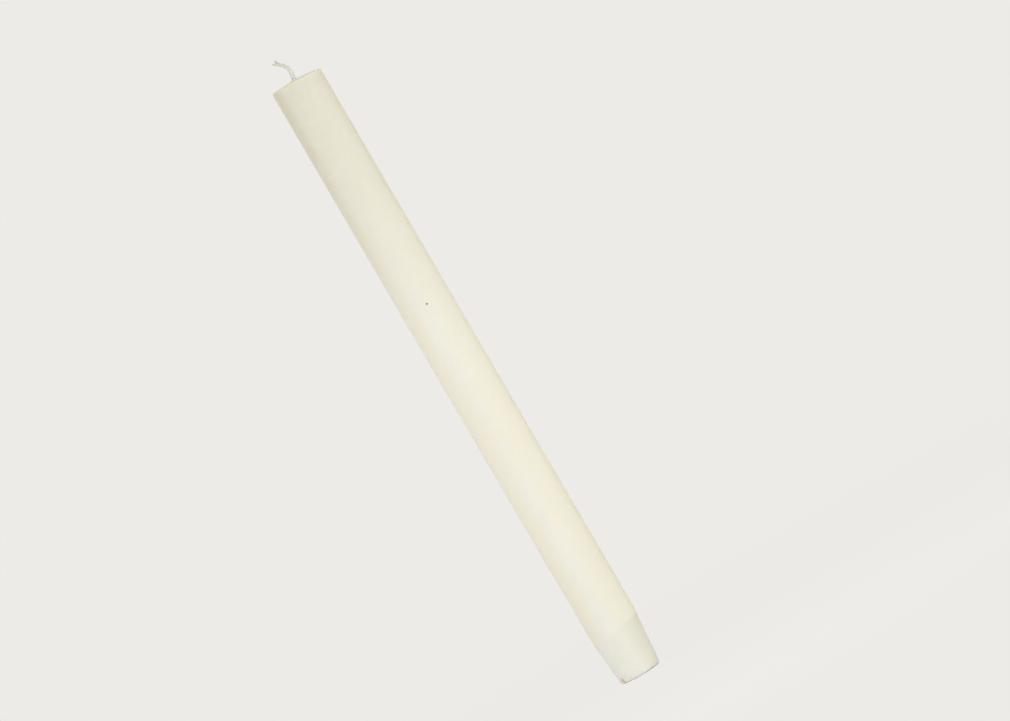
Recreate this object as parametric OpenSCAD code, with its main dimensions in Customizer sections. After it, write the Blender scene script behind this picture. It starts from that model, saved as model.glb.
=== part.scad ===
// Ivory taper candle: a straight wax candle with a shallow cone at its top, a tapered
// foot that fits a candle cup, and a braided cotton wick through its whole length.
// Millimetres. The origin is the middle of the foot's flat, and +Z runs up the body.
// +X is to the right of somebody who sees the wick bend away to the left.

/* [Body] */
// Diameter of the straight body
body_d = 22; // [19:0.5:28]
// Height of the wax, from the flat of the foot to the middle of the top
wax_h = 277; // [120:1:400]
// Rise of the shallow cone at the top
top_rise = 0.9; // [0.4:0.1:3]
// Radius of the shoulder round the top
shoulder_r = 0.5; // [0.2:0.1:1.5]

/* [Foot] */
// Diameter of the foot at its flat, before the rim is rounded
foot_d = 18; // [14:0.1:19]
// Height of the foot's main cone
foot_h = 17.8; // [12:0.1:30]
// Half angle of the main cone, in degrees
foot_slope = 4.7; // [3:0.1:6]
// Half angle of the short run-out between the main cone and the body, in degrees
runout_slope = 7.8; // [6.5:0.1:30]
// How far the foot's cone leans to the left against the body, in degrees
foot_tilt = 0.5; // [0:0.1:2]
// How far the foot's cone stands to the left of the body's axis
foot_shift = 0.05; // [0:0.05:0.5]
// Radius of the rim round the flat
rim_r = 0.9; // [0.3:0.1:2]

/* [Chipped rim] */
// Radius of the hollow that is chipped out of the rim
chip_r = 2.2; // [1.2:0.1:3.5]
// Depth of the hollow, measured square to the foot's wall
chip_depth = 0.5; // [0.2:0.1:0.7]
// Height of the hollow's middle above the flat
chip_z = 1; // [0.4:0.1:2]
// Where the hollow lies round the rim, in degrees from +X towards the front
chip_turn = 146; // [0:1:360]

/* [Wick] */
// Diameter of the braid where it stands out of the wax
wick_d = 1.8; // [1.6:0.1:3]
// How far the wick stands to the left of the body's axis
wick_offset = 0.3; // [0:0.1:2]
// Depth of the wick's cut end inside the foot's flat
wick_recess = 0.4; // [0.2:0.1:3]
// Radius of the wax that has crept up round the wick
collar_r = 2.1; // [1.9:0.1:4]
// Height of that wax over the middle of the top
collar_h = 0.3; // [0.2:0.1:1.5]

/* [Free end of the wick] */
// How much each stretch is thinner than the one before
thinning = 0.1; // [0.06:0.02:0.2]
// How far the wick first leans to the right, in degrees
lean = 13; // [4:1:30]
// Radius of the curve into that lean
lean_r = 4; // [2:0.5:10]
// Length of the leaning stretch
lean_l = 1.1; // [0.5:0.1:8]
// How far the wick then turns to the left, in degrees
turn = 60; // [10:1:90]
// Radius of the turn
turn_r = 5; // [2:0.1:10]
// Length from the turn to where the braid has come apart
reach_l = 1; // [1:0.1:8]
// Diameter of the two loose strands
strand_d = 0.8; // [0.5:0.1:0.9]
// Length of the upper strand
upper_l = 2.3; // [1:0.1:5]
// Turn of the upper strand from the braid, in degrees
upper_turn = 12; // [8:1:60]
// Length of the lower strand
lower_l = 2.7; // [1:0.1:5]
// Turn of the lower strand from the braid, in degrees
lower_turn = 6; // [6:1:40]

/* [Hidden] */
$fn = 64;
over = 1; // how far a cut runs past what it cuts
flat_trim = 0.02; // what is cut off the askew foot's end where it is shortest
collar_lip = 0.1; // width of the wax edge round the wick
seat = 0.2; // how deep each stretch of the wick starts inside the one before
strand_root = 0.5; // how deep the loose strands start inside the braid

body_r = body_d / 2;
foot_r = foot_d / 2;
shoulder_z = wax_h - top_rise;
cone_r = foot_r + foot_h * tan(foot_slope); // the main cone's radius at its top
top_slope = atan(top_rise / body_r);
wick_x = -wick_offset;

// Surface of the top's cone over a point that far from the axis
function top_z(r) = wax_h - top_rise * r / body_r;

// Length that a fillet takes off each side of a corner that opens by 90 degrees plus slope
function fillet_l(r, slope) = r / tan((90 + slope) / 2);

module wax_colour() color("ivory") children();
module cotton_colour() color("oldlace") children();

// Half section of the body's cylinder, its rounded shoulder and the top's cone
module body_profile() {
    cut = fillet_l(shoulder_r, top_slope);
    polygon([
        [0, 0],
        [body_r, 0],
        [body_r, shoulder_z - cut],
        [body_r - cut * cos(top_slope), shoulder_z + cut * sin(top_slope)],
        [0, wax_h]
    ]);
    translate([body_r - shoulder_r, shoulder_z - cut]) circle(shoulder_r);
}

// Half section of the foot's main cone, and of its run-out, which goes on past the whole body
module foot_profile() {
    cut = fillet_l(rim_r, foot_slope);
    top = wax_h + 2 * body_d;
    polygon([
        [0, 0],
        [foot_r - cut, 0],
        [foot_r + cut * sin(foot_slope), cut * cos(foot_slope)],
        [cone_r, foot_h],
        [cone_r + (top - foot_h) * tan(runout_slope), top],
        [0, top]
    ]);
    translate([foot_r - cut, rim_r]) circle(rim_r);
}

// The foot is turned down a little askew, so that its edge on the body runs aslant
module foot_envelope() {
    sink = foot_r * sin(foot_tilt) + flat_trim;
    translate([-foot_shift, 0, -sink])
        rotate([0, -foot_tilt, 0])
            rotate_extrude() foot_profile();
}

// Wax that has crept up round the wick, over the top's cone
module collar() {
    base_z = top_z(collar_r + wick_offset);
    translate([wick_x, 0, base_z])
        cylinder(h = wax_h + collar_h - base_z, r1 = collar_r, r2 = wick_d / 2 + collar_lip);
}

// Hollow knocked out of the foot's rim
module chip() {
    wall_r = foot_r + chip_z * tan(foot_slope);
    rotate([0, 0, -chip_turn])
        translate([wall_r + chip_r - chip_depth, 0, chip_z])
            sphere(chip_r);
}

module wick_channel() {
    translate([wick_x, 0, -over]) cylinder(h = wax_h + collar_h + 2 * over, d = wick_d);
}

module wax_body() {
    wax_colour() difference() {
        union() {
            intersection() {
                rotate_extrude() body_profile();
                foot_envelope();
            }
            collar();
        }
        wick_channel();
        chip();
    }
}

// A straight stretch of the wick, with what follows it on its end
module straight(length, d) {
    translate([0, 0, -seat]) cylinder(h = length + seat, d = d);
    translate([0, 0, length]) children();
}

// A stretch of the wick that curves to the right by an angle, or to the left if it is negative
module curved(radius, angle, d) {
    side = sign(angle);
    back = seat / radius * 180 / PI;
    rotate([0, 0, side < 0 ? 180 : 0])
        translate([radius, 0, 0])
            rotate([-90, 0, 0])
                rotate([0, 0, 180 - back])
                    rotate_extrude(angle = abs(angle) + back) translate([radius, 0]) circle(d = d);
    translate([side * radius, 0, 0])
        rotate([0, angle, 0])
            translate([-side * radius, 0, 0]) children();
}

// One loose strand at the wick's tip, turned to the right by an angle
module strand(length, angle, x) {
    translate([x, 0, -strand_root])
        rotate([0, angle, 0]) {
            cylinder(h = length + strand_root, d = strand_d);
            translate([0, 0, length + strand_root]) sphere(d = strand_d);
        }
}

module wick() {
    foot_z = wick_recess + seat;
    tip_d = wick_d - 4 * thinning;
    spread = (tip_d - strand_d) / 2;
    cotton_colour()
        translate([wick_x, 0, foot_z])
            straight(wax_h + collar_h - foot_z, wick_d)
                curved(lean_r, lean, wick_d - thinning)
                    straight(lean_l, wick_d - 2 * thinning)
                        curved(turn_r, -turn, wick_d - 3 * thinning)
                            straight(reach_l, tip_d) {
                                strand(upper_l, upper_turn, spread);
                                strand(lower_l, -lower_turn, -spread);
                            }
}

wax_body();
wick();
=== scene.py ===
"""An ivory taper candle: a straight paraffin body with a milled, tapered foot and a plaited cotton wick.

Lengths are in millimetres while a piece is being shaped, and in metres once it is a Blender object. +Z runs
up the candle, the middle of the foot's flat is the origin, and the wick's free end bends towards -X.
"""

import logging
import math
import random
from collections.abc import Iterator
from dataclasses import dataclass, field
from enum import Enum

import bmesh
import bpy
from mathutils import Matrix, Vector, noise


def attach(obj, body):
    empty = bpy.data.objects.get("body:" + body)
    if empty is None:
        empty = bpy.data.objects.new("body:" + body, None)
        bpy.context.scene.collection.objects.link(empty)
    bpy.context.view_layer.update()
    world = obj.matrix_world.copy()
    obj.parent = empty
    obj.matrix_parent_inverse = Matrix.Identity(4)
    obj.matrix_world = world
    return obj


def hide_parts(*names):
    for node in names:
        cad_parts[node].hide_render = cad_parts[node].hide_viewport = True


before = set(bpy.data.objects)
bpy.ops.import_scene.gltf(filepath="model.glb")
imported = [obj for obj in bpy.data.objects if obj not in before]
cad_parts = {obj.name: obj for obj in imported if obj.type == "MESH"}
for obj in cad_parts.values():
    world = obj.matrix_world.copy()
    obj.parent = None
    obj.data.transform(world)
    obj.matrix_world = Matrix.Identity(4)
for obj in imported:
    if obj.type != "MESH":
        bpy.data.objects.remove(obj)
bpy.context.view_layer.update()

LOG = logging.getLogger("taper_candle")
MM = 0.001
PHOTO_WIDTH = 1010
BACKGROUND = "#ECEBE7"

# Points of a mesh that are nearer than this many millimetres are in one place
NEAR = 0.01

Tree = bpy.types.NodeTree
Socket = bpy.types.NodeSocket
Patterns = dict[str, Socket]
Shape = bmesh.types.BMesh
Layer = bmesh.types.BMLayerItem
Inputs = dict[str | int, object]

# The Mix node's own numbers for its colour sockets, whose names its other kinds share
MIX_A = 6
MIX_B = 7
MIX_RESULT = 2

# A Wave texture at scale 1 runs through 20 radians in a metre
WAVE_RADIANS = 20


def linear(colour: str) -> tuple[float, float, float, float]:
    """Turns an sRGB hex colour into the linear colour that Blender's sockets take.

    Args:
        colour: Six hex digits after a hash sign.

    Returns:
        Red, green, blue and an alpha of 1.
    """
    shares = (int(colour[i:i + 2], 16) / 255 for i in (1, 3, 5))
    return (*(s / 12.92 if s <= 0.04045 else ((s + 0.055) / 1.055) ** 2.4 for s in shares), 1.0)


def per_metre(size_mm: float) -> float:
    """Gives the texture scale at which one pattern cell is size_mm wide."""
    return 1 / (size_mm * MM)


def smooth(low: float, high: float, value: float) -> float:
    """Rises smoothly from 0 to 1 as value goes from low to high."""
    share = min(1.0, max(0.0, (value - low) / (high - low)))
    return share * share * (3 - 2 * share)


def mixed(start: float, end: float, share: float) -> float:
    """Gives the value that lies that share of the way from start to end."""
    return start + (end - start) * share


def rough(place: Vector, layers: tuple[tuple[float, float], ...]) -> float:
    """Adds up layers of noise at a place, each given by its height and by its cells in a millimetre."""
    return sum(height * noise.noise(place * cells) for height, cells in layers)


def ahead(heading: float) -> Vector:
    """Gives the direction of a heading, in radians from +Z towards +X."""
    return Vector((math.sin(heading), 0.0, math.cos(heading)))


def rightward(heading: float) -> Vector:
    """Gives the direction to the right of a heading."""
    return Vector((math.cos(heading), 0.0, -math.sin(heading)))


def add_node(tree: Tree, kind: str, inputs: Inputs | None = None, **settings: object) -> bpy.types.Node:
    """Adds one node with its settings and its links.

    Args:
        tree: The tree that takes the node.
        kind: Blender's name for the kind of node, without its ShaderNode.
        inputs: Sockets by name or number. A socket as the value is linked, and anything else is set.
        **settings: The node's own properties.

    Returns:
        The new node.
    """
    new = tree.nodes.new("ShaderNode" + kind)
    for name, value in settings.items():
        setattr(new, name, value)
    for name, value in (inputs or {}).items():
        if isinstance(value, Socket):
            tree.links.new(value, new.inputs[name])
        else:
            new.inputs[name].default_value = value
    return new


def blank_material(name: str) -> tuple[bpy.types.Material, Tree]:
    """Starts a material without any nodes.

    Args:
        name: The material's name.

    Returns:
        The material and its tree.
    """
    made = bpy.data.materials.new(name)
    made.use_nodes = True
    made.node_tree.nodes.clear()
    return made, made.node_tree


class Slot(Enum):
    """Names of the candle's two material slots."""

    WAX = "wax"
    COTTON = "wick_cotton"


class Mark(Enum):
    """What the meshes' own attributes hold for the materials."""

    MILLED = "milled"
    CHIPPED = "chipped"
    FIBRE = "fibre"
    REACH = "reach"
    GROOVE = "groove"


@dataclass(frozen=True)
class Tint:
    """A colour that comes over the ones before it as a pattern goes through a range.

    The range is in the pattern's own unit, and the shares are how much of the colour there is at its ends,
    inside the mark that it stays within.
    """

    pattern: str
    colour: str
    range: tuple[float, float]
    shares: tuple[float, float]
    within: str | None = None


@dataclass(frozen=True)
class Relief:
    """A pattern that stands up from the surface, with its depth, and the mark that it stays within."""

    pattern: str
    depth_mm: float
    strength: float
    within: str | None = None


@dataclass(frozen=True)
class ParaffinWax:
    """Extruded paraffin candle wax, in pale ivory.

    The eye sees a milky body that light enters a little way, with a satin skin. The die leaves faint lines
    along it, handling leaves dull clouds, and the cutter that turned down the foot leaves it greyer and dull.
    Its colour also holds painted light: painted shade towards the top, on the upper flanks and on the foot's
    right side, and a warmer right half and edges painted as light reflected onto and shining through the wax.
    """

    ivory: str = "#F2F0E7"
    ior: float = 1.44
    gloss: float = 0.15
    roughness: tuple[float, float] = (0.44, 0.54)
    cut_roughness: float = 0.16
    light_depth_mm: float = 2.4
    # Red light goes furthest into the wax, and blue light least
    light_reach: tuple[float, float, float] = (1.0, 0.88, 0.68)
    cloud_mm: float = 21.0
    patch_mm: float = 4.5
    grain_mm: float = 0.35
    dirt_mm: float = 0.9
    # The painted shade on the upper end's flanks begins at the first height, and is full at the second
    upper_shade_mm: tuple[float, float] = (170.0, 262.0)
    die_line_mm: float = 0.9
    die_line_length_mm: float = 45.0
    # The real cutter's rings lie about 0.4 mm apart, which is one pixel, so they are drawn twice as coarse
    cutter_ring_mm: float = 0.8
    speck_mm: tuple[float, float, float] = (0.4, -11.0, 172.25)
    speck_radius_mm: float = 0.46
    tints: tuple[Tint, ...] = (
        # Painted light: the right half warmer, as warm light reflected onto it from the right
        Tint("across", "#F0EBDA", (-4 * MM, 7 * MM), (0.0, 0.8)),
        # Painted light: both edges yellower, as light shining through the wax at its edges
        Tint("across", "#F0EAD8", (-10 * MM, -2 * MM), (0.9, 0.0)),
        Tint("across", "#F2EACE", (7.5 * MM, 11 * MM), (0.0, 0.8)),
        Tint("clouds", "#F1EBD7", (0.42, 0.66), (0.0, 0.35)),
        # Painted shade: the wax darker towards the top, where less light falls
        Tint("up", "#E9E6D6", (130 * MM, 275 * MM), (0.0, 0.95)),
        # Painted shade: darker, yellower flanks on the upper end
        Tint("across", "#DDD6BF", (-11 * MM, -5.5 * MM), (0.88, 0.0), within="upper"),
        Tint("across", "#E6DCB6", (7.5 * MM, 11 * MM), (0.0, 0.5), within="upper"),
        # Painted shade: darker still near the top and on the shoulder; the cone within is lightened back out
        # of it
        Tint("up", "#DAD3BB", (264 * MM, 275 * MM), (0.0, 0.12)),
        Tint("up", "#D0CAB8", (275 * MM, 276.2 * MM), (0.0, 0.62)),
        Tint("up", "#EFEBDD", (276.2 * MM, 276.6 * MM), (0.0, 0.8)),
        Tint("patches", "#F3F2EA", (0.5, 0.72), (0.0, 0.22)),
        Tint("milled", "#EFEEE5", (0.0, 1.0), (0.0, 0.85)),
        # Painted shade: the milled foot darker and yellower on its right side
        Tint("across", "#DBD5B9", (0.0, 9 * MM), (0.0, 0.4), within="milled"),
        Tint("chipped", "#E9E0C6", (0.2, 0.8), (0.0, 0.8)),
        Tint("dirt", "#BFB08B", (0.44, 0.6), (0.0, 0.6), within="chipped"),
        Tint("speck", "#2E281E", (0.5, 1.0), (1.0, 0.0)),
    )
    reliefs: tuple[Relief, ...] = (
        Relief("die lines", 0.018, 0.6),
        Relief("patches", 0.12, 0.35),
        Relief("cutter rings", 0.02, 0.6, within="milled"),
        Relief("grain", 0.09, 1.0, within="chipped"),
    )

    def material(self) -> bpy.types.Material:
        """Makes the wax's material.

        Returns:
            The finished material.
        """
        made, tree = blank_material("extruded_paraffin_wax")
        patterns = self.patterns(tree)
        shader = add_node(
            tree,
            "BsdfPrincipled",
            {
                "Base Color": self.colour(tree, patterns),
                "Roughness": self.dullness(tree, patterns),
                "Normal": self.normal(tree, patterns),
                "IOR": self.ior,
                "Specular IOR Level": self.gloss,
                "Subsurface Weight": 1.0,
                "Subsurface Radius": self.light_reach,
                "Subsurface Scale": self.light_depth_mm * MM,
            },
        )
        add_node(tree, "OutputMaterial", {"Surface": shader.outputs["BSDF"]})
        return made

    def patterns(self, tree: Tree) -> Patterns:
        """Makes the patterns that colour, dullness and relief are drawn from.

        Args:
            tree: The material's tree.

        Returns:
            The patterns' sockets by name.
        """
        place = add_node(tree, "TexCoord").outputs["Object"]
        axes = add_node(tree, "SeparateXYZ", {"Vector": place}).outputs
        found = {"across": axes["X"], "up": axes["Z"]}
        start, full = self.upper_shade_mm
        inputs = {"Value": axes["Z"], "From Min": start * MM, "From Max": full * MM}
        found["upper"] = add_node(tree, "MapRange", inputs).outputs["Result"]
        for mark in (Mark.MILLED, Mark.CHIPPED):
            marked = add_node(tree, "Attribute", attribute_name=mark.value)
            found[mark.value] = marked.outputs["Fac"]
        squeeze = (1.0, 1.0, self.die_line_mm / self.die_line_length_mm)
        drawn_out = add_node(tree, "Mapping", {"Vector": place, "Scale": squeeze}).outputs["Vector"]
        for name, coordinates, size_mm, detail in (
            ("clouds", place, self.cloud_mm, 3.0),
            ("patches", place, self.patch_mm, 4.0),
            ("grain", place, self.grain_mm, 2.0),
            ("dirt", place, self.dirt_mm, 2.0),
            ("die lines", drawn_out, self.die_line_mm, 2.0),
        ):
            inputs = {"Vector": coordinates, "Scale": per_metre(size_mm), "Detail": detail, "Roughness": 0.55}
            found[name] = add_node(tree, "TexNoise", inputs).outputs["Fac"]
        scale = math.tau / WAVE_RADIANS * per_metre(self.cutter_ring_mm)
        inputs = {"Vector": place, "Scale": scale, "Distortion": 1.5, "Detail": 2.0, "Detail Scale": 0.4}
        rings = add_node(tree, "TexWave", inputs, wave_type="BANDS", bands_direction="Z")
        found["cutter rings"] = rings.outputs["Fac"]
        inputs = {0: place, 1: tuple(v * MM for v in self.speck_mm)}
        away = add_node(tree, "VectorMath", inputs, operation="DISTANCE").outputs["Value"]
        inputs = {0: away, 1: self.speck_radius_mm * MM}
        found["speck"] = add_node(tree, "Math", inputs, operation="DIVIDE").outputs[0]
        return found

    def colour(self, tree: Tree, patterns: Patterns) -> Socket:
        """Lays the tints over the ivory, in order.

        Args:
            tree: The material's tree.
            patterns: The patterns by name.

        Returns:
            The colour's socket.
        """
        colour = linear(self.ivory)
        for tint in self.tints:
            inputs = {
                "Value": patterns[tint.pattern],
                "From Min": tint.range[0],
                "From Max": tint.range[1],
                "To Min": tint.shares[0],
                "To Max": tint.shares[1],
            }
            ranged = add_node(tree, "MapRange", inputs, interpolation_type="SMOOTHSTEP")
            share = ranged.outputs["Result"]
            if tint.within:
                inputs = {0: share, 1: patterns[tint.within]}
                share = add_node(tree, "Math", inputs, operation="MULTIPLY").outputs[0]
            inputs = {"Factor": share, MIX_A: colour, MIX_B: linear(tint.colour)}
            colour = add_node(tree, "Mix", inputs, data_type="RGBA").outputs[MIX_RESULT]
        return colour

    def dullness(self, tree: Tree, patterns: Patterns) -> Socket:
        """Makes the roughness: a satin skin with duller patches, and a dull foot and chip.

        Args:
            tree: The material's tree.
            patterns: The patterns by name.

        Returns:
            The roughness's socket.
        """
        low, high = self.roughness
        inputs = {"Value": patterns["patches"], "From Min": 0.3, "From Max": 0.7}
        inputs |= {"To Min": low, "To Max": high}
        skin = add_node(tree, "MapRange", inputs).outputs["Result"]
        inputs = {0: patterns[Mark.MILLED.value], 1: patterns[Mark.CHIPPED.value]}
        cut = add_node(tree, "Math", inputs, operation="MAXIMUM").outputs[0]
        inputs = {0: cut, 1: self.cut_roughness, 2: skin}
        return add_node(tree, "Math", inputs, operation="MULTIPLY_ADD").outputs[0]

    def normal(self, tree: Tree, patterns: Patterns) -> Socket:
        """Lays the reliefs on each other, in order.

        Args:
            tree: The material's tree.
            patterns: The patterns by name.

        Returns:
            The normal's socket.
        """
        normal = None
        for relief in self.reliefs:
            strength = relief.strength
            if relief.within:
                inputs = {0: patterns[relief.within], 1: relief.strength}
                strength = add_node(tree, "Math", inputs, operation="MULTIPLY").outputs[0]
            height = patterns[relief.pattern]
            inputs = {"Height": height, "Distance": relief.depth_mm * MM, "Strength": strength}
            if normal:
                inputs["Normal"] = normal
            normal = add_node(tree, "Bump", inputs).outputs["Normal"]
        return normal


@dataclass(frozen=True)
class CottonYarn:
    """Bleached cotton yarn, plaited and primed with wax.

    The eye sees dull, soft thread with fine twisted fibres, creamy where wax has soaked in near the body and
    greyer towards the dry, handled tip, with painted shade on its left side near the wax and in the grooves
    between its yarns.
    """

    primed: str = "#FAF9F3"
    dry: str = "#D8D5C7"
    # Painted shade in the grooves between the yarns
    between: str = "#D4D0C1"
    # Painted shade on the wick's left side near the wax
    painted_shade: str = "#9F977C"
    painted_shade_share: float = 0.12
    # Where the painted shade starts and where it is full: across the wick, and as shares of its free end
    painted_shade_across_mm: tuple[float, float] = (-0.2, -1.0)
    painted_shade_reach: tuple[float, float] = (0.6, 0.1)
    roughness: float = 0.75
    # Real cotton fibres are 0.015 mm thick, so they are drawn seven times as coarse
    fibre_mm: float = 0.1
    fibre_depth_mm: float = 0.03
    fibre_strength: float = 0.25

    def material(self) -> bpy.types.Material:
        """Makes the yarn's material.

        Returns:
            The finished material.
        """
        made, tree = blank_material("plaited_cotton_yarn")
        along = add_node(tree, "Attribute", attribute_name=Mark.FIBRE.value).outputs["Vector"]
        inputs = {"Vector": along, "Scale": 1 / self.fibre_mm, "Detail": 2.0, "Roughness": 0.6}
        fibres = add_node(tree, "TexNoise", inputs).outputs["Fac"]
        inputs = {"Height": fibres, "Distance": self.fibre_depth_mm * MM, "Strength": self.fibre_strength}
        normal = add_node(tree, "Bump", inputs).outputs["Normal"]
        shader = add_node(
            tree,
            "BsdfPrincipled",
            {
                "Base Color": self.colour(tree, fibres),
                "Normal": normal,
                "Roughness": self.roughness,
                "Sheen Weight": 0.2,
                "Sheen Roughness": 0.5,
            },
        )
        add_node(tree, "OutputMaterial", {"Surface": shader.outputs["BSDF"]})
        return made

    def colour(self, tree: Tree, fibres: Socket) -> Socket:
        """Colours the thread from primed to dry, with painted shade on its left side and in its yarns'
        grooves.

        Args:
            tree: The material's tree.
            fibres: The pattern of the fibres.

        Returns:
            The colour's socket.
        """
        reach = add_node(tree, "Attribute", attribute_name=Mark.REACH.value).outputs["Fac"]
        groove = add_node(tree, "Attribute", attribute_name=Mark.GROOVE.value).outputs["Fac"]
        # Painted shade: the grooves between the yarns darker
        inputs = {"Value": fibres, "From Min": 0.3, "From Max": 0.7, "To Min": 0.7, "To Max": 0.3}
        shaded_grooves = add_node(tree, "MapRange", inputs).outputs["Result"]
        shaded_grooves = add_node(tree, "Math", {0: shaded_grooves, 1: groove}, operation="MULTIPLY").outputs[0]
        colour = linear(self.primed)
        for share, over in ((reach, self.dry), (self.painted_left_shade(tree, reach), self.painted_shade), (shaded_grooves, self.between)):
            inputs = {"Factor": share, MIX_A: colour, MIX_B: linear(over)}
            colour = add_node(tree, "Mix", inputs, data_type="RGBA").outputs[MIX_RESULT]
        return colour

    def painted_left_shade(self, tree: Tree, reach: Socket) -> Socket:
        """Paints shade on the left side of the wick, near the wax.

        Args:
            tree: The material's tree.
            reach: How far along the free end a point lies.

        Returns:
            The socket of the painted shade's share.
        """
        place = add_node(tree, "TexCoord").outputs["Object"]
        across = add_node(tree, "SeparateXYZ", {"Vector": place}).outputs["X"]
        start, full = self.painted_shade_across_mm
        inputs = {"Value": across, "From Min": start * MM, "From Max": full * MM, "To Max": self.painted_shade_share}
        left = add_node(tree, "MapRange", inputs, interpolation_type="SMOOTHSTEP").outputs["Result"]
        start, full = self.painted_shade_reach
        inputs = {"Value": reach, "From Min": start, "From Max": full}
        low = add_node(tree, "MapRange", inputs).outputs["Result"]
        return add_node(tree, "Math", {0: left, 1: low}, operation="MULTIPLY").outputs[0]


def shown_to_the_eye(tree: Tree) -> Socket:
    """Tells camera, glossy and transmission rays, which see the background, from those that only bring light.

    Args:
        tree: The material's or the world's tree.

    Returns:
        A socket that is 1 for rays that see the background, and 0 for the others.
    """
    rays = add_node(tree, "LightPath").outputs
    seen = rays["Is Camera Ray"]
    for kind in ("Is Glossy Ray", "Is Transmission Ray"):
        seen = add_node(tree, "Math", {0: seen, 1: rays[kind]}, operation="MAXIMUM").outputs[0]
    return seen


@dataclass(frozen=True)
class FloorPaint:
    """Matt pale paint, which the eye sees in the background's colour, with a light shadow where one falls."""

    shadow_depth: float = 0.14
    plain_share: float = 0.885
    fade_from: float = 0.14
    fade_to: float = 0.4

    def material(self) -> bpy.types.Material:
        """Makes the floor's material.

        Returns:
            The finished material.
        """
        made, tree = blank_material("matt_floor_paint")
        place = add_node(tree, "TexCoord").outputs["Object"]
        away = add_node(tree, "VectorMath", {0: place}, operation="LENGTH").outputs["Value"]
        inputs = {"Value": away, "From Min": self.fade_from, "From Max": self.fade_to}
        gone = add_node(tree, "MapRange", inputs, interpolation_type="SMOOTHSTEP").outputs["Result"]
        paint = add_node(tree, "BsdfDiffuse", {"Color": linear(BACKGROUND)}).outputs["BSDF"]
        shade = tuple(self.shadow_depth * v for v in linear(BACKGROUND)[:3]) + (1.0,)
        shaded = add_node(tree, "BsdfDiffuse", {"Color": shade}).outputs["BSDF"]
        inputs = {"Color": linear(BACKGROUND), "Strength": self.plain_share}
        plain = add_node(tree, "Emission", inputs).outputs["Emission"]
        backdrop = add_node(tree, "AddShader", {0: shaded, 1: plain}).outputs[0]
        inputs = {0: shown_to_the_eye(tree), 1: paint, 2: backdrop}
        surface = add_node(tree, "MixShader", inputs).outputs[0]
        clear = add_node(tree, "BsdfTransparent").outputs["BSDF"]
        surface = add_node(tree, "MixShader", {0: gone, 1: surface, 2: clear}).outputs[0]
        add_node(tree, "OutputMaterial", {"Surface": surface})
        return made


def finished_piece(name: str, shape: Shape, material: bpy.types.Material) -> bpy.types.Object:
    """Turns a shape in millimetres into a smooth-shaded object at the origin.

    Args:
        name: The piece's name.
        shape: Its mesh, in millimetres. It is freed.
        material: Its only material.

    Returns:
        The object, linked to the scene.
    """
    bmesh.ops.scale(shape, vec=(MM, MM, MM), verts=shape.verts)
    for face in shape.faces:
        face.smooth = True
    mesh = bpy.data.meshes.new(name)
    shape.to_mesh(mesh)
    shape.free()
    mesh.materials.append(material)
    piece = bpy.data.objects.new(name, mesh)
    bpy.context.scene.collection.objects.link(piece)
    return piece


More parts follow.
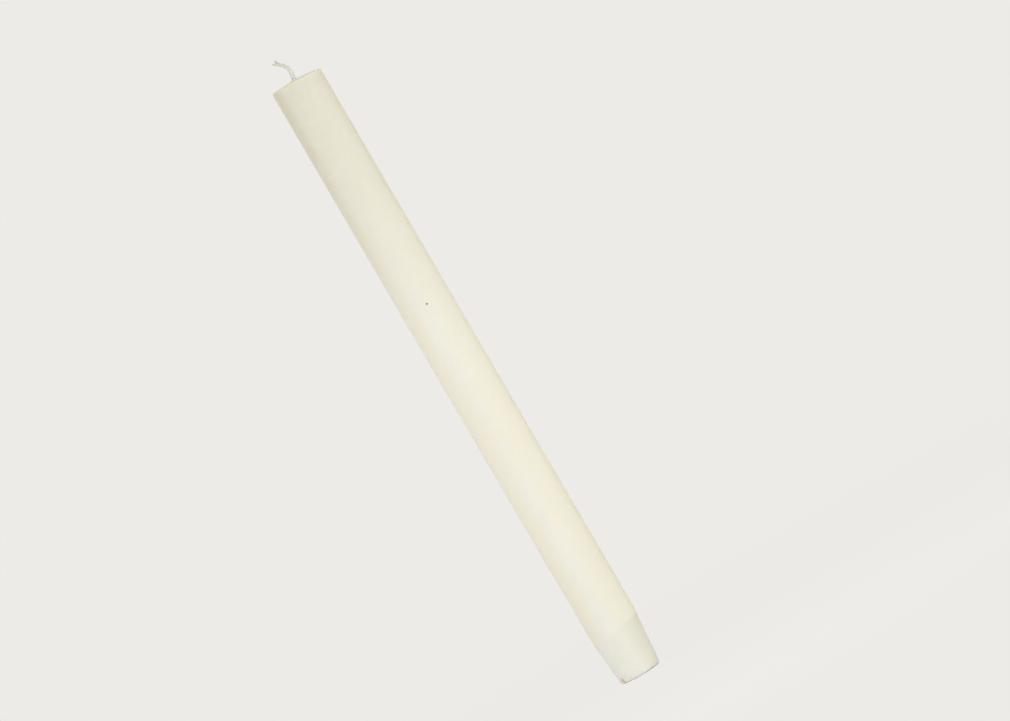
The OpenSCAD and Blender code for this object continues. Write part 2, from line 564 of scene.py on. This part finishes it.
@dataclass
class WaxBody:
    """The wax: a straight round body with a shallow cone on top, an askew tapered foot and a wick channel."""

    radius: float = 11.0
    top: float = 277.0
    top_rise: float = 0.9
    shoulder_radius: float = 0.5
    foot_radius: float = 9.0
    cone_height: float = 17.8
    cone_slope: float = math.radians(4.7)
    runout_slope: float = math.radians(7.8)
    foot_tilt: float = math.radians(0.5)
    foot_shift: float = 0.05
    rim_radius: float = 0.45
    flat_trim: float = 0.02
    channel_radius: float = 0.9
    channel_offset: float = 0.3
    collar_radius: float = 2.1
    collar_lip: float = 0.1
    collar_height: float = 0.3
    collar_skirt: float = 0.3
    collar_round: float = 0.9
    chip_radius: float = 2.2
    chip_depth: float = 0.5
    chip_height: float = 1.0
    chip_azimuth: float = math.radians(-150)
    chip_crumbs: tuple[tuple[float, float], ...] = ((0.12, 1.9), (0.06, 5.3))
    # How far inside and beyond the hollow's edge its crumbled look sets in
    chip_edge: tuple[float, float] = (-0.1, 0.75)
    # How far beyond the hollow the mesh is made finer, how often, and how far its edge is looked for
    chip_fine: float = 0.8
    chip_halvings: int = 2
    chip_search: float = 1.0
    # Distances from the axis at which the wax moves wholly with the channel, and no more
    channel_drag: tuple[float, float] = (1.6, 6.0)
    # What the photograph shows beyond the plain solid: a wavy skin, and worn edges on the right
    ripple: float = 0.04
    # The skin's waves: how many there are round the body, as a scale, and their length along it
    broad_waves: tuple[float, float] = (0.7, 62.0)
    close_waves: tuple[float, float] = (2.1, 17.0)
    close_share: float = 0.25
    close_start: float = 40.0
    ripple_from: float = 1.0
    waist: float = 0.08
    waist_heights: tuple[float, float] = (34.0, 66.0)
    top_lean: float = 0.12
    top_lean_across: tuple[float, float] = (-2.0, 9.0)
    # Where wear sets in and is full, as the cosine of the angle between a point's direction and +X
    shoulder_side: tuple[float, float] = (-0.1, 0.8)
    rim_side: tuple[float, float] = (-0.2, 0.8)
    rounded_sides: tuple[float, float] = (0.35, 0.85)
    # The power with which wear deepens towards an edge
    wear_curve: float = 1.5
    shoulder_wear: float = 0.4
    shoulder_wear_width: float = 3.0
    shoulder_wear_depth: float = 1.0
    rim_wear: float = 0.65
    rim_wear_width: float = 1.9
    rim_wear_heights: tuple[float, float] = (0.5, 5.0)
    rim_rounding: float = 0.45
    rim_rounding_width: float = 0.9
    # The cutter's edge: its bluntness, how ragged it is on the skin, and the depths of cut where it shows
    cutter_blur: float = 0.05
    cutter_ragged: tuple[tuple[float, float], ...] = ((0.05, 0.9), (0.02, 4.0))
    cutter_depths: tuple[float, float] = (-0.06, 0.18)
    # Points round the body, and how far apart its rows are in the channel, foot, body and top
    sides: int = 160
    channel_rows: float = 20.0
    foot_rows: float = 0.45
    body_rows: float = 2.0
    top_rows: float = 0.6
    foot_zone: float = 33.0
    top_zone: float = 5.0
    finish: ParaffinWax = field(default_factory=ParaffinWax)

    @property
    def shoulder(self) -> float:
        """Height of the shoulder's edge before it is rounded."""
        return self.top - self.top_rise

    @property
    def channel_wall(self) -> float:
        """Distance from the axis within which only the channel's wall has points, before it is moved."""
        return self.channel_radius + NEAR

    def build(self) -> bpy.types.Object:
        """Shapes and dresses the wax.

        Returns:
            The finished piece, riding on the candle's only body.
        """
        shape = self.turned()
        milled = shape.verts.layers.float.new(Mark.MILLED.value)
        chipped = shape.verts.layers.float.new(Mark.CHIPPED.value)
        self.ripple_skin(shape)
        self.wear_top(shape)
        self.mill_foot(shape, milled)
        self.wear_rim(shape)
        self.move_channel(shape)
        self.chip_rim(shape, chipped)
        bmesh.ops.recalc_face_normals(shape, faces=shape.faces)
        piece = finished_piece("wax_candle_body", shape, self.finish.material())
        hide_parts("wax_body")
        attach(piece, "root")
        return piece

    def turned(self) -> Shape:
        """Spins the half section about the candle's axis.

        Returns:
            A straight candle with its channel, closed like a ring, before the foot is milled.
        """
        shape = self.half_section()
        bmesh.ops.spin(
            shape,
            geom=shape.verts[:] + shape.edges[:],
            cent=(0, 0, 0),
            axis=(0, 0, 1),
            dvec=(0, 0, 0),
            angle=math.tau,
            steps=self.sides,
            use_merge=True,
        )
        return shape

    def half_section(self) -> Shape:
        """Draws the half section in the XZ plane, with round corners and rows of points.

        Returns:
            A closed wire.
        """
        shape = bmesh.new()
        cone = self.top_rise / self.radius
        rim = Vector((self.radius, 0, 0))
        edge = Vector((self.radius, 0, self.shoulder))
        skirt = self.collar_radius + self.collar_skirt
        collar = Vector((skirt, 0, self.top - cone * skirt))
        lip = self.channel_radius + self.collar_lip
        corners = [
            Vector((self.channel_radius, 0, 0)),
            rim,
            Vector((self.radius, 0, self.foot_zone)),
            Vector((self.radius, 0, self.shoulder - self.top_zone)),
            edge,
            collar,
            Vector((lip, 0, self.top + self.collar_height)),
            Vector((self.channel_radius, 0, self.top + self.collar_height)),
        ]
        points = [shape.verts.new(corner) for corner in corners]
        for here, there in zip(points, points[1:] + points[:1]):
            shape.edges.new((here, there))
        rounds = ((rim, self.rim_radius, 8), (edge, self.shoulder_radius, 6), (collar, self.collar_round, 5))
        for corner, width, segments in rounds:
            bmesh.ops.bevel(
                shape,
                geom=[v for v in shape.verts if (v.co - corner).length < NEAR],
                offset=width,
                offset_type="OFFSET",
                segments=segments,
                profile=0.5,
                affect="VERTICES",
                material=-1,
            )
        for side in shape.edges[:]:
            rows = round(side.calc_length() / self.row_height(side))
            if rows > 1:
                bmesh.ops.subdivide_edges(shape, edges=[side], cuts=rows - 1)
        return shape

    def row_height(self, side: bmesh.types.BMEdge) -> float:
        """Chooses how far apart the rows on a side of the half section are.

        Args:
            side: A side of the half section.

        Returns:
            The distance in millimetres.
        """
        middle = (side.verts[0].co + side.verts[1].co) / 2
        if middle.x < self.channel_wall:
            return self.channel_rows
        if middle.z < self.foot_zone:
            return self.foot_rows
        return self.body_rows if middle.z < self.shoulder - self.top_zone else self.top_rows

    def ripple_skin(self, shape: Shape) -> None:
        """Gives the body the slight unevenness of a drawn candle, and a slimmer stretch above the foot.

        Args:
            shape: The candle so far.
        """
        broad_scale, broad_length = self.broad_waves
        close_scale, close_length = self.close_waves
        for vert in shape.verts:
            out = vert.co.xy.length
            if out < self.channel_radius + self.ripple_from:
                continue
            around = vert.co.xy / out
            up = vert.co.z / broad_length
            broad = noise.noise(Vector((around.x * broad_scale, around.y * broad_scale, up)))
            up = vert.co.z / close_length + self.close_start
            close = noise.noise(Vector((around.x * close_scale, around.y * close_scale, up)))
            slimmer = self.waist * (1 - smooth(*self.waist_heights, vert.co.z))
            swell = self.ripple * (broad + self.close_share * close) - slimmer
            vert.co.x += (around.x * swell + slimmer) * out / self.radius
            vert.co.y += around.y * swell * out / self.radius

    def wear_top(self, shape: Shape) -> None:
        """Leans the top a little and rounds off its right side, where it has been knocked.

        Args:
            shape: The candle so far.
        """
        width = self.shoulder_wear_width
        low = self.shoulder - self.top_zone
        high = self.shoulder - self.shoulder_wear_depth
        for vert in shape.verts:
            out = vert.co.xy.length
            level = smooth(low, high, vert.co.z)
            if not level or out < self.channel_wall:
                continue
            side = smooth(*self.shoulder_side, vert.co.x / out)
            reach = max(0.0, out - self.radius + width) / width
            lean = self.top_lean * smooth(*self.top_lean_across, vert.co.x)
            vert.co.z -= level * (lean + self.shoulder_wear * side * reach**self.wear_curve)

    def cone_radius(self, azimuth: float, height: float) -> float:
        """Works out how far the askew foot's cone, and its steeper run-out, reach from the body's axis.

        Args:
            azimuth: Direction from the axis, in radians from +X towards +Y.
            height: Height above the flat.

        Returns:
            The distance in millimetres.
        """
        sideways = math.cos(azimuth)
        sink = self.foot_radius * math.sin(self.foot_tilt) + self.flat_trim
        axis_x = -self.foot_shift - math.tan(self.foot_tilt) * height
        along = height + sink - self.foot_radius * sideways * math.sin(self.foot_tilt)
        flare = math.tan(self.cone_slope) * min(along, self.cone_height)
        flare += math.tan(self.runout_slope) * max(0.0, along - self.cone_height)
        return axis_x * sideways + self.foot_radius + flare

    def mill_foot(self, shape: Shape, milled: Layer) -> None:
        """Turns the foot down to its cone and marks what the cutter touched.

        Args:
            shape: The candle so far.
            milled: Vertex layer that takes the share of milled surface.
        """
        blunt = self.cutter_blur
        for vert in shape.verts:
            out = vert.co.xy.length
            if vert.co.z > self.foot_zone or out < self.channel_wall:
                continue
            azimuth = math.atan2(vert.co.y, vert.co.x)
            outer = self.radius - self.waist * (1 - math.cos(azimuth))
            gap = outer - self.cone_radius(azimuth, vert.co.z)
            cut = max(0.0, gap) + max(0.0, blunt - abs(gap)) ** 2 / (4 * blunt)
            vert.co.xy *= (outer - cut) / outer
            vert[milled] = smooth(*self.cutter_depths, gap + rough(vert.co, self.cutter_ragged))

    def wear_rim(self, shape: Shape) -> None:
        """Rounds off both sides of the rim, and the right one more, where the cutter's crisp edge has worn.

        Args:
            shape: The candle so far.
        """
        for vert in shape.verts:
            level = 1 - smooth(*self.rim_wear_heights, vert.co.z)
            if not level:
                continue
            out = vert.co.xy.length
            sideways = vert.co.x / out
            inside = self.foot_radius - out
            rounded = smooth(*self.rounded_sides, abs(sideways))
            rounded *= max(0.0, 1 - inside / self.rim_rounding_width) ** 2
            worn = smooth(*self.rim_side, sideways)
            worn *= max(0.0, 1 - inside / self.rim_wear_width) ** self.wear_curve
            vert.co.z += level * (self.rim_rounding * rounded + self.rim_wear * worn)

    def move_channel(self, shape: Shape) -> None:
        """Moves the channel and the wax close round it to where the wick stands.

        Args:
            shape: The candle so far.
        """
        for vert in shape.verts:
            vert.co.x -= self.channel_offset * (1 - smooth(*self.channel_drag, vert.co.xy.length))

    def chip_rim(self, shape: Shape, chipped: Layer) -> None:
        """Knocks the small hollow out of the foot's rim, with a crumbled floor.

        Args:
            shape: The candle so far.
            chipped: Vertex layer that rises from 0 at the hollow's edge to 1 inside it.
        """
        wall = self.cone_radius(self.chip_azimuth, self.chip_height)
        out = wall + self.chip_radius - self.chip_depth
        turn = self.chip_azimuth
        centre = Vector((out * math.cos(turn), out * math.sin(turn), self.chip_height))
        fine = self.chip_radius + self.chip_fine
        for _ in range(self.chip_halvings):
            near = [e for e in shape.edges if all((v.co - centre).length < fine for v in e.verts)]
            bmesh.ops.subdivide_edges(shape, edges=near, cuts=1, use_grid_fill=True)
        for vert in shape.verts:
            away = vert.co - centre
            if away.length > self.chip_radius + self.chip_search:
                continue
            reach = self.chip_radius + rough(vert.co, self.chip_crumbs)
            vert[chipped] = 1 - smooth(*self.chip_edge, away.length - reach)
            if away.length < reach:
                vert.co = centre + away.normalized() * reach


@dataclass(frozen=True)
class Stretch:
    """A stretch of the wick's middle line: its length, and how far it turns to the right, in degrees."""

    length: float
    turn: float = 0.0


@dataclass
class Thread:
    """A tube along a row of points, with its radius at each, and how far along the free end each lies.

    A tube with lobes is a strand of that many yarns, which wind round it once in a pitch.
    """

    points: list[Vector] = field(default_factory=list)
    radii: list[float] = field(default_factory=list)
    reaches: list[float] = field(default_factory=list)
    lobes: int = 0
    groove: float = 0.08
    pitch: float = 3.4
    sides: int = 6
    # The fibres' pattern is drawn out along the thread by this share
    fibre_squeeze: float = 0.12

    def add(self, point: Vector, radius: float, reach: float) -> None:
        """Carries the thread on to a point.

        Args:
            point: Where the thread goes next.
            radius: Its radius there.
            reach: How far along the free end that is, from 0 to 1.
        """
        self.points.append(point)
        self.radii.append(radius)
        self.reaches.append(reach)

    def frames(self) -> Iterator[Matrix]:
        """Carries a frame along the thread without letting it twist.

        Returns:
            One matrix a point, whose third column looks along the thread.
        """
        side = Vector((1.0, 0.0, 0.0))
        last = len(self.points) - 1
        for index in range(last + 1):
            onward = (self.points[min(last, index + 1)] - self.points[max(0, index - 1)]).normalized()
            side = (side - side.dot(onward) * onward).normalized()
            yield Matrix((side, onward.cross(side), onward)).transposed()

    def lengths(self) -> Iterator[float]:
        """Measures the thread up to each of its points.

        Returns:
            One length a point.
        """
        gone = 0.0
        for index, point in enumerate(self.points):
            gone += (point - self.points[max(0, index - 1)]).length
            yield gone

    def sweep(self, shape: Shape) -> None:
        """Rolls a grid up into this thread's tube, still open at both ends.

        Args:
            shape: The mesh that takes the tube.
        """
        fibre = shape.verts.layers.float_vector[Mark.FIBRE.value]
        reach = shape.verts.layers.float[Mark.REACH.value]
        grooved = shape.verts.layers.float[Mark.GROOVE.value]
        rows = len(self.points) - 1
        frames = list(self.frames())
        lengths = list(self.lengths())
        grid = bmesh.ops.create_grid(shape, x_segments=self.sides, y_segments=rows, size=0.5)["verts"]
        for vert in grid:
            row = round((vert.co.y + 0.5) * rows)
            column = round((vert.co.x + 0.5) * self.sides) % self.sides
            turn = math.tau * column / self.sides
            wound = turn - math.tau * lengths[row] / self.pitch
            depth = 1 - abs(math.cos(self.lobes * wound / 2))
            girth = self.radii[row] * (1 - self.groove * depth)
            rolled = Vector((girth * math.cos(turn), girth * math.sin(turn), 0.0))
            vert.co = self.points[row] + frames[row] @ rolled
            along = self.fibre_squeeze * lengths[row]
            vert[fibre] = Vector((girth * math.cos(wound), girth * math.sin(wound), along))
            vert[reach] = self.reaches[row]
            vert[grooved] = depth


@dataclass
class Wick:
    """The plaited wick: a hidden run through the wax, a free end with two loose tips, and a cut end below."""

    start: Vector = field(default_factory=lambda: Vector((-0.3, 0.0, 0.4)))
    wax_top: float = 277.3
    lean: float = 13.0
    lean_radius: float = 4.0
    lean_length: float = 1.1
    turn: float = 58.0
    turn_radius: float = 5.0
    reach_length: float = 1.0
    diameter: float = 1.8
    # Widths of the plait at lengths of its free end: it loosens over the wax, and narrows to its tips
    free_widths: tuple[tuple[float, float], ...] = (
        (-0.4, 1.8),
        (0.6, 2.0),
        (2.4, 2.2),
        (4.6, 2.05),
        (6.6, 1.8),
        (8.0, 1.7),
    )
    upper_length: float = 2.4
    upper_turn: float = 6.0
    lower_length: float = 3.0
    lower_turn: float = -6.0
    plait_pitch: float = 6.4
    # A strand's radius, and how far it swings sideways and in depth, as shares of the plait's width
    strand_share: float = 0.24
    sway_share: float = 0.265
    depth_share: float = 0.17
    # Where the plait comes apart, as a share of the free end
    split_reach: float = 0.75
    # Where the two tips start beside the middle line, as shares of the plait's width
    lower_start: float = -0.24
    upper_start: float = 0.2
    # The upper tip is two strands, which wind round each other ever closer
    tip_pitch: float = 4.4
    tip_winding: tuple[float, float] = (0.19, 0.14)
    tip_share: float = 0.78
    tip_round: float = 0.3
    tip_blunt: float = 0.2
    # Lengths over which a tip turns to its own way, and leaves the plait
    tip_bend: float = 0.9
    tip_gather: float = 1.2
    # How deep in the wax the free strands start, and how long the strands of the cut end are
    rooted: float = 1.5
    cut_length: float = 2.0
    # How far short of the hidden run's two ends the core stops, and how far inside the channel's wall it is
    core_short: tuple[float, float] = (1.0, 1.2)
    core_gap: float = 0.05
    yarns: int = 4
    # A yarn's end, in radii of its strand: where it starts and ends, its girth, and its tip's
    yarn_rows: int = 12
    yarn_start: float = 0.45
    yarn_end: float = 0.62
    yarn_girth: float = 0.46
    yarn_tip_girth: float = 0.24
    # The share of its girth that a yarn has where its tip begins
    yarn_taper: float = 0.6
    yarn_spread_row: int = 3
    yarn_splay: float = 0.3
    yarn_overhang: float = 0.08
    # How much further each yarn spreads and reaches than the one before
    yarn_end_step: float = 0.06
    yarn_overhang_step: float = 0.05
    step: float = 0.1
    # The loose fibres: where they root, as shares of a thread, and their length, lean, curl and radii
    fibres: int = 120
    fibre_roots: tuple[float, float] = (0.12, 0.9)
    fibre_length: tuple[float, float] = (0.4, 0.9)
    fibre_lean: tuple[float, float] = (0.35, 0.9)
    fibre_curl: float = 0.35
    fibre_radii: tuple[float, float] = (0.02, 0.008)
    seed: int = 11
    finish: CottonYarn = field(default_factory=CottonYarn)

    def build(self) -> bpy.types.Object:
        """Shapes and dresses the wick.

        Returns:
            The finished piece, riding on the candle's only body.
        """
        shape = bmesh.new()
        shape.verts.layers.float_vector.new(Mark.FIBRE.value)
        shape.verts.layers.float.new(Mark.REACH.value)
        shape.verts.layers.float.new(Mark.GROOVE.value)
        free = [self.free_strand(number) for number in range(3)]
        cut = [self.strand(number, 0.0, self.cut_length) for number in range(3)]
        yarns = [yarn for strand in free for yarn in self.yarn_ends(strand)]
        for thread in (*free, *cut, *yarns, self.hidden_run(), *self.loose_fibres(free + yarns)):
            thread.sweep(shape)
        # A float holds 277 mm to 0.00003 mm, and a distance under that would leave some seam points apart
        bmesh.ops.remove_doubles(shape, verts=shape.verts, dist=1e-4)
        bmesh.ops.holes_fill(shape, edges=[e for e in shape.edges if e.is_boundary], sides=0)
        bmesh.ops.recalc_face_normals(shape, faces=shape.faces)
        piece = finished_piece("plaited_wick", shape, self.finish.material())
        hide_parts("wick")
        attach(piece, "root")
        return piece

    @property
    def stretches(self) -> list[Stretch]:
        """The middle line from the cut end to where the plait comes apart."""
        return [
            Stretch(self.hidden_length),
            Stretch(self.lean_radius * math.radians(self.lean), self.lean),
            Stretch(self.lean_length),
            Stretch(self.turn_radius * math.radians(self.turn), -self.turn),
            Stretch(self.reach_length),
        ]

    @property
    def hidden_length(self) -> float:
        """Length of the wick inside the wax."""
        return self.wax_top - self.start.z

    @property
    def split(self) -> float:
        """Length of the middle line up to where the plait comes apart."""
        return sum(stretch.length for stretch in self.stretches)

    def middle(self, along: float) -> tuple[Vector, float]:
        """Finds a place on the middle line.

        Args:
            along: Length from the cut end.

        Returns:
            The place, and the heading there in radians from +Z towards +X.
        """
        place = self.start.copy()
        heading = 0.0
        for stretch in self.stretches:
            length = min(stretch.length, along)
            turned = math.radians(stretch.turn) * length / stretch.length
            if abs(turned) < 1e-9:
                place += length * ahead(heading)
            else:
                place += length / turned * (rightward(heading) - rightward(heading + turned))
            heading += turned
            along -= length
            if along <= 0:
                break
        return place, heading

    def width(self, along: float) -> float:
        """Works out the plait's width at a place.

        Args:
            along: Length from the cut end.

        Returns:
            The width in millimetres.
        """
        width = self.diameter
        free = along - self.hidden_length
        for (start, before), (end, after) in zip(self.free_widths, self.free_widths[1:]):
            width += (after - before) * smooth(start, end, free)
        return width

    def strand(self, number: int, first: float, last: float) -> Thread:
        """Follows one of the three strands between two lengths of the middle line.

        Args:
            number: The strand's number, from 0.
            first: Length where it starts.
            last: Length where it ends, at most the split.

        Returns:
            The strand's own middle line, with its radius along it.
        """
        strand = Thread(lobes=self.yarns, sides=6 * self.yarns)
        steps = round((last - first) / self.step)
        for index in range(steps + 1):
            along = mixed(first, last, index / steps)
            place, heading = self.middle(along)
            width = self.width(along)
            phase = math.tau * ((along - self.split) / self.plait_pitch + number / 3 + 1 / 6)
            place += self.sway_share * width * math.cos(phase) * rightward(heading)
            place.y += self.depth_share * width * math.sin(2 * phase)
            reach = smooth(self.hidden_length, self.split, along)
            strand.add(place, self.strand_share * width, self.split_reach * reach)
        return strand

    def free_strand(self, number: int) -> Thread:
        """Follows a strand from a little inside the wax to its tip.

        Args:
            number: Its number. The lower tip is strand 1, and the upper one is the other two, twisted.

        Returns:
            The strand, with a rounded end.
        """
        strand = self.strand(number, self.hidden_length - self.rooted, self.split)
        lower = number == 1
        length = self.lower_length if lower else self.upper_length
        turn = math.radians(self.lower_turn if lower else self.upper_turn)
        place, heading = self.middle(self.split)
        start = self.lower_start if lower else self.upper_start
        place += start * self.width(self.split) * rightward(heading)
        offset = strand.points[-1] - place
        radius = strand.radii[-1]
        steps = round(length / self.step)
        for index in range(1, steps + 1):
            share = index / steps
            done = share * length
            place += length / steps * ahead(heading + turn * smooth(0, self.tip_bend, done))
            phase = math.tau * done / self.tip_pitch + number * math.pi / 2
            amplitude = 0.0 if lower else mixed(*self.tip_winding, share)
            aside = math.cos(phase) * rightward(heading + turn) + math.sin(phase) * Vector((0, 1, 0))
            point = place + offset.lerp(amplitude * aside, smooth(0, self.tip_gather, done))
            near_end = max(0.0, 1 - (length - done) / self.tip_round)
            rounded = math.sqrt(max(self.tip_blunt, 1 - near_end**2))
            girth = radius * rounded * mixed(1.0, self.tip_share, share)
            strand.add(point, girth, mixed(self.split_reach, 1.0, share))
        return strand

    def yarn_ends(self, strand: Thread) -> Iterator[Thread]:
        """Gives the ends of a strand's yarns, which stick out of its tip and spread.

        Args:
            strand: The strand.

        Returns:
            The yarn ends, one at a time.
        """
        frames = list(strand.frames())
        last = self.yarn_rows - 1
        radius = strand.radii[-self.yarn_rows]
        for number in range(self.yarns):
            yarn = Thread(sides=8)
            turn = math.tau * number / self.yarns
            out = math.cos(turn) * frames[-1].col[0] + math.sin(turn) * frames[-1].col[1]
            for index in range(self.yarn_rows):
                root = strand.points[index - self.yarn_rows]
                end = self.yarn_end + self.yarn_end_step * number
                spread = mixed(self.yarn_start, end, smooth(self.yarn_spread_row, last, index))
                girth = self.yarn_girth * radius * (self.yarn_taper if index == last else 1.0)
                yarn.add(root + spread * radius * out, girth, strand.reaches[-1])
            tip = yarn.points[-1]
            onward = frames[-1].col[2] + self.yarn_splay * out
            overhang = self.yarn_overhang + self.yarn_overhang_step * number
            yarn.add(tip + overhang * onward, self.yarn_tip_girth * radius, strand.reaches[-1])
            yield yarn

    def hidden_run(self) -> Thread:
        """Makes the plain core that stands for the plait inside the wax.

        Returns:
            The core.
        """
        core = Thread(sides=16)
        low, high = self.core_short
        for along in (low, self.hidden_length - high):
            core.add(self.middle(along)[0], self.diameter / 2 - self.core_gap, 0.0)
        return core

    def loose_fibres(self, threads: list[Thread]) -> Iterator[Thread]:
        """Gives the short fibres that stand off the threads, most of them near the tips.

        Args:
            threads: The strands and yarns of the free end.

        Returns:
            The fibres, one at a time.
        """
        draw = random.Random(self.seed)
        for _ in range(self.fibres):
            yarn = draw.choice(threads)
            last = len(yarn.points) - 1
            first, spread = self.fibre_roots
            root = min(last, int(last * (first + spread * math.sqrt(draw.random()))))
            onward = (yarn.points[root] - yarn.points[root - 1]).normalized()
            astray, curl = (Vector([draw.uniform(-1, 1) for _ in range(3)]) for _ in range(2))
            length = draw.uniform(*self.fibre_length) + yarn.radii[root]
            lean = draw.uniform(*self.fibre_lean)
            fibre = Thread(sides=4)
            for index in range(5):
                share = index / 4
                way = (onward + lean * share * astray).normalized()
                point = yarn.points[root] + length * share * way + self.fibre_curl * length * share**2 * curl
                fibre.add(point, mixed(*self.fibre_radii, share), yarn.reaches[root])
            yield fibre


@dataclass(frozen=True)
class SoftLight:
    """A square area light, which looks at a point of the candle."""

    name: str
    azimuth: float
    distance: float
    height: float
    side: float
    power: float
    target: float = 100.0

    def build(self) -> bpy.types.Object:
        """Makes the light, which no camera sees.

        Returns:
            The light's object.
        """
        data = bpy.data.lights.new(self.name, "AREA")
        data.size = self.side * MM
        data.energy = self.power
        light = bpy.data.objects.new(self.name, data)
        turn = math.radians(self.azimuth)
        place = Vector((self.distance * math.sin(turn), -self.distance * math.cos(turn), self.height))
        light.location = place * MM
        light.rotation_mode = "QUATERNION"
        light.rotation_quaternion = (place - Vector((0, 0, self.target))).to_track_quat("Z", "Y")
        light.visible_camera = False
        bpy.context.scene.collection.objects.link(light)
        return light


@dataclass
class Studio:
    """The photograph's view, a plain pale floor and plain soft light."""

    # Millimetres in a pixel at the candle, from the body's 22 mm over 54.65 pixels
    pixel: float = 22.0 / 54.65
    lean: float = 30.22
    aim: Vector = field(default_factory=lambda: Vector((16.04, 0.0, 136.68)))
    distance: float = 2200.0
    eye_height: float = 180.0
    sensor: float = 36.0
    ambient: float = 0.65
    floor_radius: float = 420.0
    lights: tuple[SoftLight, ...] = (
        SoftLight("front_light", 4, 480, 115, 210, 0.54, 70),
        SoftLight("high_light", 35, 1100, 350, 500, 1.6, 120),
        SoftLight("left_light", -100, 450, 40, 250, 0.42, 30),
        SoftLight("right_light", 100, 450, 40, 250, 0.08, 30),
        SoftLight("top_light", 0, 60, 650, 200, 0.15, 277),
    )
    floor_finish: FloorPaint = field(default_factory=FloorPaint)

    def build(self) -> None:
        """Makes the camera, the world, the lights and the floor."""
        self.camera()
        self.world()
        for light in self.lights:
            light.build()
        self.floor()

    def camera(self) -> bpy.types.Object:
        """Makes the camera, rolled so that the candle leans to the upper left as in the photograph.

        Returns:
            The camera's object, set as the scene's camera.
        """
        aim = self.aim * MM
        eye = Vector((self.aim.x, -self.distance, self.eye_height)) * MM
        look = (aim - eye).normalized()
        across = look.cross(Vector((0, 0, 1))).normalized()
        above = across.cross(look)
        lean = math.radians(self.lean)
        image_right = math.cos(lean) * across - math.sin(lean) * above
        image_up = math.sin(lean) * across + math.cos(lean) * above
        data = bpy.data.cameras.new("photo_camera")
        data.sensor_width = self.sensor
        data.lens = self.sensor * (aim - eye).length / (self.pixel * PHOTO_WIDTH * MM)
        camera = bpy.data.objects.new("photo_camera", data)
        turned = Matrix((image_right, image_up, -look)).transposed().to_4x4()
        camera.matrix_world = Matrix.Translation(eye) @ turned
        bpy.context.scene.collection.objects.link(camera)
        bpy.context.scene.camera = camera
        return camera

    def world(self) -> bpy.types.World:
        """Makes the world: the photograph's flat background to the eye, and a plain level of light.

        Returns:
            The world, set as the scene's.
        """
        world = bpy.data.worlds.new("pale_studio")
        world.use_nodes = True
        tree = world.node_tree
        tree.nodes.clear()
        inputs = {"Color": linear("#FFFFFF"), "Strength": self.ambient}
        light = add_node(tree, "Background", inputs).outputs[0]
        inputs = {"Color": linear(BACKGROUND), "Strength": 1.0}
        backdrop = add_node(tree, "Background", inputs).outputs[0]
        inputs = {0: shown_to_the_eye(tree), 1: light, 2: backdrop}
        surface = add_node(tree, "MixShader", inputs).outputs[0]
        add_node(tree, "OutputWorld", {"Surface": surface})
        bpy.context.scene.world = world
        return world

    def floor(self) -> bpy.types.Object:
        """Makes the round floor under the candle.

        Returns:
            The floor's object, which is no part of the candle.
        """
        shape = bmesh.new()
        bmesh.ops.create_circle(shape, cap_ends=True, segments=96, radius=self.floor_radius)
        floor = finished_piece("pale_floor", shape, self.floor_finish.material())
        return floor


def main() -> None:
    """Builds the studio and the candle's two pieces, and reports each piece."""
    logging.basicConfig(level=logging.INFO, format="%(name)s: %(message)s")
    bpy.context.scene.view_settings.view_transform = "Standard"
    Studio().build()
    for maker in (WaxBody(), Wick()):
        piece = maker.build()
        LOG.info("%s: %d vertices, %d faces", piece.name, len(piece.data.vertices), len(piece.data.polygons))


if __name__ == "__main__":
    main()
